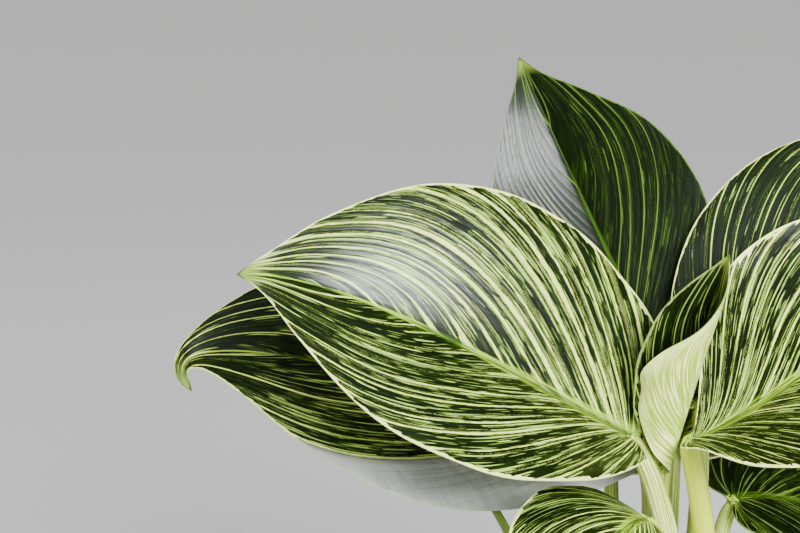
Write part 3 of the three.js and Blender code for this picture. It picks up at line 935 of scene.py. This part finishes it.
CLAY_TONES = rgb(126, 54, 28), rgb(188, 108, 70)
CLAY_SPECK = rgb(198, 134, 96)
CLAY_PIT = rgb(104, 48, 28)
CLAY_SALTS = rgb(214, 190, 166)

# Grains on the mix. lump: a name, the three proportions, how rough it is and a seed. finish: a name,
# the dark and light colour, the noise's scale, the roughness and the relief's depth. amounts: the most
# grains on a square metre, the metres between them at least, and the sizes in millimetres.
GRAINS = {
    "soil_crumbs": {
        "lump": ("crumb", (1, 1, 0.8), 0.25, 1),
        "finish": ("soil_crumb", rgb(30, 20, 14), rgb(78, 56, 38), 1.5, 0.8, 0.0005),
        "seed": 4,
        "amounts": {"Density": 2.6e5, "Least Gap": 0.0018, "Smallest": 1.2, "Largest": 3.4},
    },
    "soil_bark": {
        "lump": ("bark_chip", (1.6, 0.8, 0.35), 0.2, 2),
        "finish": ("bark_chip", rgb(62, 38, 24), rgb(128, 88, 56), 1.1, 0.75, 0.0005),
        "seed": 9,
        "amounts": {"Density": 2.4e4, "Least Gap": 0.005, "Smallest": 3, "Largest": 6.5},
    },
    "soil_perlite": {
        "lump": ("perlite_bead", (1, 0.9, 0.85), 0.22, 3),
        "finish": ("perlite", rgb(186, 180, 166), rgb(232, 230, 222), 1.3, 0.8, 0.0003),
        "seed": 15,
        "amounts": {"Density": 1.1e4, "Least Gap": 0.006, "Smallest": 1.8, "Largest": 4.2},
    },
}


def stripes(finish):
    """The blade's markings: cream lanes, dashes and specks between them, the margin and the midrib."""
    lane, reach, seed = finish.layer("vein")
    run, edge, along = finish.layer("place")
    cream, lime, rim = finish.layer("tone")
    plain, under, spread = finish.layer("trait")
    sway = finish.noise(finish.vector(lane * 9, reach * 0.03, seed), detail=1) - 0.5
    swayed = lane + sway * 0.008

    def streaks(across, down, offset, detail=1.0):
        place = finish.vector(swayed * across, reach * down, seed * 7.3 + offset)
        return finish.noise(place, detail=detail)

    def lines(count, down, offset):
        """How far off its line a point is, in mm, the gap to the next, a slow change and the number."""
        phase = swayed * count
        number = finish.maths("FLOOR", phase)
        shift = (finish.chance(number, seed, offset) - 0.5) * 0.5
        gap = spread * (1 / count)
        off = finish.maths("ABSOLUTE", phase - number - 0.5 - shift) * gap
        change = finish.noise(finish.vector(number * 5.3, reach * down, seed + offset), detail=1)
        return off, gap, change, number

    def drawn(off, width, gap, soft):
        """1 on the line and 0 off it. Lines narrow where they run together."""
        width = finish.smaller(width, gap * 0.4)
        return finish.fall(off, width - soft, width + soft)

    near_edge = finish.fall(edge, 0.8, 7)
    near_rib = finish.fall(run, 0.5, 7)
    fade = 1 - finish.rise(along, 0.45, 0.92) * 0.6
    amount = finish.smaller(cream * fade * (near_edge * 0.35 + near_rib * 0.25 + 1), 1.05)
    busy = amount * (1.1 - amount)
    ragged = streaks(150, 0.3, 3, 2.0) - 0.5
    coarse = streaks(110, 0.06, 11) - 0.5

    off, gap, swell, number = lines(BANDS, 0.035, 1)
    size = finish.chance(number, seed, 2)
    present = finish.rise(size + amount * 1.2, 0.5, 0.62)
    width = (amount * amount * 0.85 + 0.15) * (size * 1.2 + 0.4) * (swell * 1.8 + 0.1) * present
    torn = off + ragged * (amount * 1.3 + 0.1) + coarse * (amount + 0.1)
    bands = drawn(torn, width, gap, 0.12) * finish.rise(width, 0.02, 0.12)
    core = finish.fall(torn, width * 0.3 - 0.1, width)

    off, gap, gate, _ = lines(THIN_LINES, 0.04, 5)
    shown = finish.rise(gate + busy * 0.5, 0.66, 0.7)
    thin = drawn(off + ragged * 0.3, 0.16 + amount * 0.1, gap, 0.08) * shown

    room = 1 - finish.rise(along, 0.6, 0.92) * 0.85
    dashes = finish.rise(streaks(170, 0.03, 7, 2.0) + busy * 0.3, 0.7, 0.73) * room
    specks = finish.rise(streaks(260, 0.08, 8, 2.0) + busy * 0.3, 0.69, 0.73) * room

    tip = finish.rise(along, 0.93, 0.99)
    clear = (1 - plain) * (1 - tip)
    rim_width = rim * (streaks(60, 0.1, 31, 2.0) * 4 - 1.2 + ragged * 2) * (1.4 - along) + 0.2
    return {
        "lane": lane, "reach": reach, "seed": seed, "run": run, "along": along,
        "lime": lime, "under": under, "bands": bands * clear, "core": core * clear,
        "thin": thin * clear, "dashes": dashes * clear, "specks": specks * clear,
        "rim": finish.fall(edge, rim_width - 0.1, rim_width + 0.15) * (1 - plain * 0.8),
        "tip": tip, "coarse": coarse, "near_edge": near_edge, "plain": plain,
    }


def upper_side():
    """The waxy upper side with all its markings."""
    finish = Finish("leaf_upper_side", {
        "Specular IOR Level": 0.05, "IOR": 1.5, "Coat Roughness": 0.28, "Coat IOR": 1.5,
    })
    m = stripes(finish)
    place = finish.here()
    cloud = finish.noise(place, 0.05)
    green = finish.mix(cloud, DEEP_GREEN, DARK_GREEN)
    green = finish.mix(finish.rise(m["coarse"], 0.02, 0.25) * 0.3, green, MID_GREEN)
    # The veins that bear no stripes are painted a streaky silvery grey, a painted sheen
    sheen_streaks = finish.noise(finish.vector(m["lane"] * 14, m["reach"] * 0.35, m["seed"]), detail=3)
    green = finish.mix(m["plain"] * (sheen_streaks * 0.5 + cloud * 0.5 + 0.3), green, PAINTED_SHEEN_GREY)
    green = finish.mix(m["tip"], green, TIP_GREEN)
    green = finish.mix(finish.rise(m["along"], 0.985, 0.998), green, DRY_TIP)
    pale = finish.mix(m["core"], YELLOW_GREEN, CREAM)
    # A high lime mark dims the stripes to green, and on the shaded back leaves this is painted shade
    pale = finish.mix(m["lime"] * 0.95, pale, LIME)
    thin = finish.larger(m["thin"], finish.larger(m["dashes"] * 0.75, m["specks"] * 0.5))
    colour = finish.mix(thin, green, finish.mix(m["lime"], PALE_GREEN, LIME))
    colour = finish.mix(m["bands"], colour, pale)
    rim_colour = finish.mix(finish.larger(m["lime"], m["tip"]), CREAM, LIME)
    colour = finish.mix(m["rim"], colour, rim_colour)

    # The midrib is yellow-green, with green streaks along it that spread towards the attachment
    base = finish.larger(1 - m["along"], 0)
    spread = base * base * 4.5 + 0.4
    spread = spread * (1 - m["lime"] * 0.6)
    rib = finish.fall(m["run"], spread * 0.5, spread * 1.5)
    strands = finish.noise(finish.vector(m["run"] * 1.5, m["along"] * 7, m["seed"]), detail=2)
    strand_colour = finish.mix(m["lime"], YELLOW_GREEN, LIME)
    strand_colour = finish.mix(finish.rise(strands, 0.45, 0.56), MID_GREEN, strand_colour)
    colour = finish.mix(rib * (1 - m["tip"]) * (0.9 - m["lime"] * 0.35), colour, strand_colour)
    cleft = finish.fall(m["run"] - (strands - 0.5) * spread * 2, 0.1, spread * 0.7) * base
    colour = finish.mix(cleft * 0.85, colour, MID_GREEN)

    # The wax on the skin shines less in the furrows along the veins
    wax = finish.layer("wax")[0]
    grain = finish.noise(finish.vector(m["lane"] * 60, m["reach"] * 0.9, m["seed"]), detail=3)
    skin = finish.noise(place, 2.2, 3.0, 0.6)
    furrow = finish.maths("ABSOLUTE", finish.maths("FRACT", m["lane"] * PILLOWS) - 0.5)
    furrow = finish.rise(furrow + m["coarse"] * 0.4, 0.36, 0.5)
    worn = finish.rise(grain, 0.3, 0.62) * 0.5 + 0.5
    finish.show("Coat Weight", wax * worn * (1 - furrow * 0.6))
    relief = m["coarse"] * 0.8 + m["bands"] * 0.2 + grain * 0.5 + skin * 0.3 - furrow * 0.25
    return finish.finished(colour, 0.36 + skin * 0.12 + grain * 0.08, relief, 0.00024)


def under_side():
    """The duller, paler underside, where the streaks only just show."""
    finish = Finish("leaf_underside", {"Specular IOR Level": 0.4, "IOR": 1.45})
    m = stripes(finish)
    place = finish.here()
    cloud = finish.noise(place, 0.05)
    green = finish.mix(cloud, UNDER_GREEN, MID_GREEN)
    green = finish.mix(m["under"], green, NEW_UNDER_GREEN)
    pale = finish.mix(m["under"], LIME, CREAM)
    soft = finish.larger(m["bands"] * 0.8, m["thin"] * 0.5)
    soft = finish.larger(soft, finish.rise(m["coarse"], -0.02, 0.12) * m["under"])
    soft = finish.larger(soft, finish.larger(m["rim"], m["near_edge"] * m["under"] * 0.7))
    colour = finish.mix(soft, green, pale)
    base = finish.larger(1 - m["along"], 0)
    rib = finish.fall(m["run"], 1.0, base * 3 + 0.8)
    colour = finish.mix(rib * 0.8, colour, YELLOW_GREEN)
    skin = finish.noise(place, 2.2, 3.0, 0.6)
    return finish.finished(colour, 0.5 + skin * 0.15, m["coarse"] * 0.8 + skin * 0.4, 0.0002)


def stalk_skin():
    """Green or cream, with fine streaks that run its whole length."""
    finish = Finish("leaf_stalk", {"Specular IOR Level": 0.45, "IOR": 1.45})
    turn, far, seed = finish.layer("vein")
    cream, _, streaked = finish.layer("tone")
    ring = turn * (2 * math.pi)
    around = [finish.maths(wave, ring) for wave in ("COSINE", "SINE")]
    streak = finish.noise(finish.vector(around[0] * 8, around[1] * 8, far * 3 + seed), 1.0, 3.0, 0.6)
    broad = finish.noise(finish.vector(around[0] * 1.5, around[1] * 1.5, far * 2 + seed), 1.0, 1.0)
    green = finish.mix(broad, *STALK_GREENS)
    pale = finish.mix(broad, *STALK_CREAMS)
    colour = finish.mix(cream, green, pale)
    light = finish.mix(cream, *STALK_LIGHTS)
    colour = finish.mix(finish.rise(streak, 0.5, 0.56) * streaked, colour, light)
    shade = finish.mix(cream, *STALK_SHADES)
    colour = finish.mix(finish.fall(streak, 0.44, 0.48) * streaked * 0.9, colour, shade)
    foot = finish.fall(far, 0.0, 0.35)
    colour = finish.mix(foot * 0.6, colour, STALK_FOOT)
    colour = finish.mix(finish.rise(far, 0.76, 0.88) * 0.85, colour, UNDER_RIB)
    skin = finish.noise(finish.here(), 1.6, 3.0, 0.6)
    return finish.finished(colour, 0.34 + skin * 0.16, streak * 0.8 + skin * 0.3, 0.0003)


# Stem, potting mix and pot

def turned_body(radii, heights, sides, placed):
    """A body turned about the Z axis. Its profile starts and ends on the axis.

    placed gives the X, Y and Z of points from their radius, turn and height.
    """
    r, turn = np.meshgrid(radii[1:-1], turns(sides), indexing="ij")
    z = np.repeat(heights[1:-1, None], sides, axis=1)
    rings = np.column_stack([axis.ravel() for axis in placed(r, turn, z)])
    faces = closed_faces(len(radii) - 2, sides)
    blank = np.zeros((len(faces), 4, 3))
    shell = Shell()
    shell.add(np.vstack([rings, [[0, 0, heights[0]], [0, 0, heights[-1]]]]))
    shell.cover(faces, 0, {layer: blank for layer in Shell.LAYERS})
    return shell


def straight(r, turn, z):
    """Where the points of a plain turned body lie."""
    return *round_axis(r, turn), z


def rounded(corners, reach, steps=8):
    """A profile with each inner corner rounded off, up to its own reach along both sides."""
    points = [np.array(corners[0], float)]
    for before, corner, after, size in zip(corners, corners[1:], corners[2:], reach):
        before, corner, after = (np.array(c, float) for c in (before, corner, after))
        start = corner + unit(before - corner) * size
        end = corner + unit(after - corner) * size
        for t in np.linspace(0, 1, steps if size else 1):
            points.append((1 - t)**2 * start + 2 * (1 - t) * t * corner + t**2 * end)
    points.append(np.array(corners[-1], float))
    return np.array(points)


def inner_radius_at(height):
    """The radius of the pot's inner wall."""
    corner = POT_BASE + POT_INNER_CORNER
    share = (height - corner) / (POT_HEIGHT - corner)
    return POT_INNER_FOOT_RADIUS + (POT_INNER_RIM_RADIUS - POT_INNER_FOOT_RADIUS) * share


def make_stem(finish):
    """The stem swells at each node and is ringed with leaf scars."""
    heights = np.linspace(STEM_BOTTOM, STEM_TOP, STEM_RINGS)
    phase = (heights - STEM_BOTTOM) / STEM_NODE_SPACING
    swell = STEM_NODE_SWELL * np.exp(-((phase % 1 - 0.5) / STEM_NODE_SHARE)**2)
    end = clamp((STEM_TOP - heights) / STEM_RADIUS)
    radii = (STEM_RADIUS + swell) * np.sqrt(1 - (1 - end)**2 * STEM_END_ROUNDING)
    radii = np.r_[0, radii, 0]
    heights = np.r_[STEM_BOTTOM, heights, STEM_TOP]

    def scarred(r, turn, z):
        """Each leaf scar runs round the stem at a slant, and the next one slants another way."""
        node = np.floor((z - STEM_BOTTOM) / STEM_NODE_SPACING)
        middle = np.exp(-((z - STEM_BOTTOM) / STEM_NODE_SPACING % 1 - 0.5)**2 / SCAR_SPREAD)
        from_ends = np.minimum(z - STEM_BOTTOM, STEM_TOP - z)
        inside = clamp(from_ends / SCAR_END_FADE)
        slant = SCAR_TILT * np.cos(turn - SCAR_TURN * node) * middle * inside
        return *round_axis(r, turn), z + slant

    shell = turned_body(radii, heights, STEM_SIDES, scarred)
    settle(shell.piece("stem_fine", [finish]), "stem")


def soil_height(r):
    """The mix lies in a low dome."""
    rim = inner_radius_at(SOIL_EDGE_HEIGHT)
    slope = SOIL_EDGE_HEIGHT + (SOIL_CROWN_HEIGHT - SOIL_EDGE_HEIGHT) * SOIL_SLOPE_SHARE
    radii = [SOIL_CROWN_RADIUS, SOIL_SLOPE_RADIUS, rim]
    return np.interp(r, radii, [SOIL_CROWN_HEIGHT, slope, SOIL_EDGE_HEIGHT])


def soil_lift(x, y):
    """Uneven ground, as a sum of a few waves."""
    lift = np.zeros_like(x)
    rng = np.random.default_rng(SOIL_SEED)
    for length in SOIL_WAVES:
        for _ in range(3):
            heading = rng.uniform(0, 2 * np.pi)
            offset = rng.uniform(0, 2 * np.pi)
            wave = np.sin((x * np.cos(heading) + y * np.sin(heading)) * 2 * np.pi / length + offset)
            lift += wave * (length / SOIL_WAVES[0])**SOIL_WAVE_POWER
    return lift * SOIL_UNEVENNESS / SOIL_WAVE_SUM


def make_soil(finish):
    """The mix fills the pot below its surface, with a hole for the stem."""
    rim = inner_radius_at(SOIL_EDGE_HEIGHT) - WALL_GAP
    corner = POT_BASE + POT_INNER_CORNER
    top = np.linspace(rim, SOIL_HOLE_RADIUS, SOIL_RINGS)
    radii = np.r_[
        0, POT_INNER_FOOT_RADIUS - POT_INNER_CORNER - WALL_GAP, POT_INNER_FOOT_RADIUS - WALL_GAP,
        top, SOIL_HOLE_RADIUS, 0,
    ]
    heights = np.r_[SOIL_FLOOR, SOIL_FLOOR, corner, soil_height(top), SOIL_HOLE_FLOOR, SOIL_HOLE_FLOOR]

    def uneven(r, turn, z):
        """Only the top is uneven, and it is even again where it meets the wall."""
        x, y = round_axis(r, turn)
        near_top = clamp((z - SOIL_EDGE_HEIGHT + SOIL_WAVE_DEPTH) / SOIL_WAVE_BLEND)
        inward = clamp((rim - r) / SOIL_EDGE_BLEND)
        return x, y, z + soil_lift(x, y) * near_top * inward

    shell = turned_body(radii, heights, SOIL_SIDES, uneven)
    settle(shell.piece("soil_fine", [finish]), "soil")


def grain_ground():
    """The stretch of the mix's surface that grains lie on, clear of the stem and the wall."""
    rings = np.linspace(SOIL_HOLE_RADIUS + GRAIN_STEM_GAP, GRAIN_AREA_RADIUS, GROUND_RINGS)
    r, turn = np.meshgrid(rings, turns(GROUND_SIDES), indexing="ij")
    x, y = round_axis(r, turn)
    points = np.column_stack([x.ravel(), y.ravel(), (soil_height(r) + soil_lift(x, y)).ravel()])
    mesh = bpy.data.meshes.new("grain_ground")
    faces = grid_faces(GROUND_RINGS, GROUND_SIDES, closed=True)[:, ::-1]
    mesh.from_pydata((points * MM).tolist(), [], faces.tolist())
    return mesh


def rough_lump(name, shape, roughness, seed):
    """A small faceted lump about 1 mm across, for the grain trees to place."""
    bpy.ops.mesh.primitive_ico_sphere_add(subdivisions=1, radius=0.5 * MM)
    lump = bpy.context.object
    lump.name = name
    rng = np.random.default_rng(seed)
    for vertex in lump.data.vertices:
        size = rng.uniform(1 - roughness, 1 + roughness)
        vertex.co = Vector(c * s for c, s in zip(vertex.co, shape)) * size
    return lump


def grain_tree(lump, finish, seed):
    """Scatters copies of a lump over a surface, turned and sized at random, as one plain mesh."""
    tree = bpy.data.node_groups.new("scattered_" + lump.name, "GeometryNodeTree")
    sockets = {}
    tree.interface.new_socket("Ground", in_out="INPUT", socket_type="NodeSocketGeometry")
    for label in ("Density", "Least Gap", "Smallest", "Largest"):
        socket = tree.interface.new_socket(label, in_out="INPUT", socket_type="NodeSocketFloat")
        sockets[label] = socket.identifier
    tree.interface.new_socket("Grains", in_out="OUTPUT", socket_type="NodeSocketGeometry")

    def add(kind, settings=None, inputs=None):
        node = tree.nodes.new(kind)
        for label, value in (settings or {}).items():
            setattr(node, label, value)
        for label, value in (inputs or {}).items():
            if isinstance(value, bpy.types.NodeSocket):
                tree.links.new(value, node.inputs[label])
            else:
                node.inputs[label].default_value = value
        return node.outputs

    given = add("NodeGroupInput")
    spots = add("GeometryNodeDistributePointsOnFaces", {"distribute_method": "POISSON"}, {
        "Mesh": given["Ground"], "Distance Min": given["Least Gap"], "Density Max": given["Density"],
        "Seed": seed,
    })
    turns = add("FunctionNodeRandomValue", {"data_type": "FLOAT_VECTOR"}, {
        0: [-HALF_TURN] * 3, 1: [HALF_TURN] * 3, "Seed": seed + 1,
    })
    sizes = add("FunctionNodeRandomValue", {"data_type": "FLOAT"}, {
        2: given["Smallest"], 3: given["Largest"], "Seed": seed + 2,
    })
    shape = add("GeometryNodeObjectInfo", None, {"Object": lump})
    grains = add("GeometryNodeInstanceOnPoints", None, {
        "Points": spots["Points"], "Instance": shape["Geometry"],
        "Rotation": turns[0], "Scale": sizes[1],
    })
    real = add("GeometryNodeRealizeInstances", None, {"Geometry": grains[0]})
    painted = add("GeometryNodeSetMaterial", None, {"Geometry": real[0], "Material": finish})
    add("NodeGroupOutput", None, {"Grains": painted[0]})
    return tree, sockets


def scatter(name, lump, finish, seed, amounts):
    """Makes one kind of grain lie on the mix, as a piece of its own."""
    tree, sockets = grain_tree(lump, finish, seed)
    ground = added(name + "_ground", grain_ground())
    modifier = ground.modifiers.new("grains", "NODES")
    modifier.node_group = tree
    for label, value in amounts.items():
        modifier[sockets[label]] = value
    mesh = finished_mesh(ground)
    mesh.name = name
    bpy.data.objects.remove(ground)
    bpy.data.objects.remove(lump)
    mesh.materials.clear()
    mesh.materials.append(finish)
    piece = added(name, mesh)
    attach(piece, "root")


def make_grains():
    for name, grain in GRAINS.items():
        lump = rough_lump(*grain["lump"])
        scatter(name, lump, lump_finish(*grain["finish"]), grain["seed"], grain["amounts"])


def make_pot(finish):
    """The pot: a turned wall with a collar, then the drain holes cut through its base."""
    collar_foot = POT_HEIGHT - POT_COLLAR_HEIGHT
    collar_radius = POT_BODY_TOP_RADIUS + POT_COLLAR_STEP
    corner = POT_BASE + POT_INNER_CORNER
    profile = rounded(
        [
            (0, 0), (POT_FOOT_RADIUS, 0),
            (POT_BODY_TOP_RADIUS, collar_foot), (collar_radius, collar_foot),
            (POT_RIM_RADIUS, POT_HEIGHT), (POT_INNER_RIM_RADIUS, POT_HEIGHT),
            (POT_INNER_FOOT_RADIUS, corner), (POT_INNER_FOOT_RADIUS - POT_INNER_CORNER, POT_BASE),
            (0, POT_BASE),
        ],
        POT_ROUNDINGS,
    )
    run = run_along(profile)
    even = np.unique(np.r_[run, np.arange(0, run[-1], POT_RING_STEP)])
    radii, heights = (np.interp(even, run, line) for line in profile.T)
    shell = turned_body(radii, heights, POT_SIDES, straight)
    pot = shell.piece("pot_fine", [finish])
    drills = []
    for i in range(DRAIN_HOLES):
        angle = 2 * math.pi * (i + 0.5) / DRAIN_HOLES
        circle = DRAIN_CIRCLE * MM
        bpy.ops.mesh.primitive_cylinder_add(
            vertices=DRAIN_SIDES, radius=DRAIN_RADIUS * MM, depth=4 * POT_BASE * MM,
            location=(circle * math.cos(angle), circle * math.sin(angle), POT_BASE * MM / 2),
        )
        drills.append(bpy.context.object)
        cut = pot.modifiers.new("drain", "BOOLEAN")
        cut.object = bpy.context.object
    mesh = finished_mesh(pot)
    pot.modifiers.clear()
    pot.data = mesh
    for drill in drills:
        bpy.data.objects.remove(drill)
    settle(pot, "pot")


def settle(piece, node):
    """Puts a finer piece in the place of the part's node."""
    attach(piece, "root")
    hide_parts(node)


def stem_bark():
    finish = Finish("stem_bark", {"Specular IOR Level": 0.3})
    place = finish.here()
    height = finish.parts(place)[2]
    phase = finish.maths("FRACT", (height - STEM_BOTTOM) / STEM_NODE_SPACING)
    scar = finish.fall(finish.maths("ABSOLUTE", phase - 0.5), 0.06, 0.16)
    mottle = finish.noise(place, 0.35, 4.0, 0.6)
    colour = finish.mix(mottle, *BARK_TONES)
    colour = finish.mix(scar * 0.75, colour, LEAF_SCAR)
    return finish.finished(colour, 0.6 + mottle * 0.25, mottle + scar * 0.6, 0.0006)


def soil_mix():
    finish = Finish("potting_mix", {"Specular IOR Level": 0.2})
    place = finish.here()
    clods = finish.noise(place, 0.4, 5.0, 0.65)
    fibres = finish.noise(place, 1.6, 4.0, 0.7)
    colour = finish.mix(clods, *MIX_TONES)
    colour = finish.mix(finish.rise(fibres, 0.58, 0.72) * 0.6, colour, MIX_FIBRE)
    return finish.finished(colour, 0.85 + clods * 0.12, clods + fibres * 0.7, 0.0012)


def lump_finish(name, dark, light, scale, roughness, depth):
    """The skin of one kind of grain."""
    finish = Finish(name, {"Specular IOR Level": 0.25})
    place = finish.here()
    tone = finish.noise(place, scale, 4.0, 0.65)
    patch = finish.noise(place, 0.12, 1.0)
    colour = finish.mix(finish.rise(tone * 0.6 + patch * 0.4, 0.35, 0.65), dark, light)
    return finish.finished(colour, roughness + tone * 0.15, tone, depth)


def fired_clay():
    finish = Finish("fired_clay", {"Specular IOR Level": 0.3})
    place = finish.here()
    x, y, height = finish.parts(place)
    cloud = finish.noise(place, 0.03, 3.0, 0.55)
    grain = finish.noise(place, 1.2, 4.0, 0.7)
    rings = finish.noise(finish.vector(x * 0.01, y * 0.01, height * 1.6), 1.0, 3.0, 0.6)
    mottle = finish.noise(place, 0.16, 6.0, 0.68)
    colour = finish.mix(cloud * 0.4 + mottle * 0.6, *CLAY_TONES)
    colour = finish.mix(finish.rise(grain, 0.58, 0.74) * 0.35, colour, CLAY_SPECK)
    colour = finish.mix(finish.fall(grain, 0.26, 0.4) * 0.45, colour, CLAY_PIT)
    salts = finish.noise(place, 0.05, 8.0, 0.62) + (grain - 0.5) * 0.25
    bloom = finish.rise(salts, 0.52, 0.72) * finish.fall(height, 5, 80)
    colour = finish.mix(bloom * 0.42, colour, CLAY_SALTS)
    relief = grain * 0.6 + rings * 0.9 + mottle * 0.5
    return finish.finished(colour, 0.78 + grain * 0.15, relief, 0.0004)


# Camera and light

def place_camera():
    camera = added("camera", bpy.data.cameras.new("camera"))
    camera.data.lens = LENS
    camera.data.sensor_width = SENSOR_WIDTH
    camera.data.clip_start = 0.01
    camera.location = CAMERA_PLACE
    camera.rotation_euler = (math.radians(CAMERA_TILT), 0, 0)
    bpy.context.scene.camera = camera


def soft_light(name, place, target, size, power, colour):
    lamp = added(name, bpy.data.lights.new(name, "AREA"))
    lamp.data.shape = "RECTANGLE"
    lamp.data.size, lamp.data.size_y = size
    lamp.data.energy = power
    lamp.data.color = colour
    lamp.location = place
    lamp.rotation_euler = (Vector(target) - Vector(place)).to_track_quat("-Z", "Y").to_euler()


def even_sun(facing, strength, spread):
    """Lights the plant and the whole floor alike, with soft shadows."""
    sun = added("even_light", bpy.data.lights.new("even_light", "SUN"))
    sun.data.energy = strength
    sun.data.angle = math.radians(spread)
    sun.rotation_euler = Vector(facing).to_track_quat("-Z", "Y").to_euler()


def studio():
    """A pale room with a floor, a soft lamp and an even sun."""
    world = bpy.data.worlds.new("studio")
    world.use_nodes = True
    background = world.node_tree.nodes["Background"].inputs
    background["Color"].default_value = ROOM_COLOUR
    background["Strength"].default_value = ROOM_STRENGTH
    bpy.context.scene.world = world
    soft_light("key", KEY_PLACE, KEY_TARGET, KEY_SIZE, KEY_POWER, KEY_COLOUR)
    even_sun(SUN_FACING, SUN_STRENGTH, SUN_SPREAD)
    bpy.ops.mesh.primitive_plane_add(size=FLOOR_SIZE, location=(0, 0, -FLOOR_DROP))
    floor = bpy.context.object
    floor.name = "floor"
    paint = Finish("floor_paint", {"Base Color": FLOOR_COLOUR, "Roughness": FLOOR_ROUGHNESS})
    floor.data.materials.append(paint.material)


def make_leaves():
    skins = [upper_side(), under_side(), stalk_skin()]
    for number, (name, entry) in enumerate(LEAVES.items()):
        leaf = {**USUAL_SHAPE, **entry}
        marks = {**USUAL_MARKINGS, **MARKINGS[name]}
        seed = FIRST_SEED + SEED_STEP * number
        shell = Shell()
        add_blade(shell, leaf, marks, seed)
        add_stalk(shell, leaf, marks, seed)
        settle(shell.piece(name + "_fine", skins), name)


place_camera()
studio()
make_leaves()
make_stem(stem_bark())
make_soil(soil_mix())
make_grains()
make_pot(fired_clay())
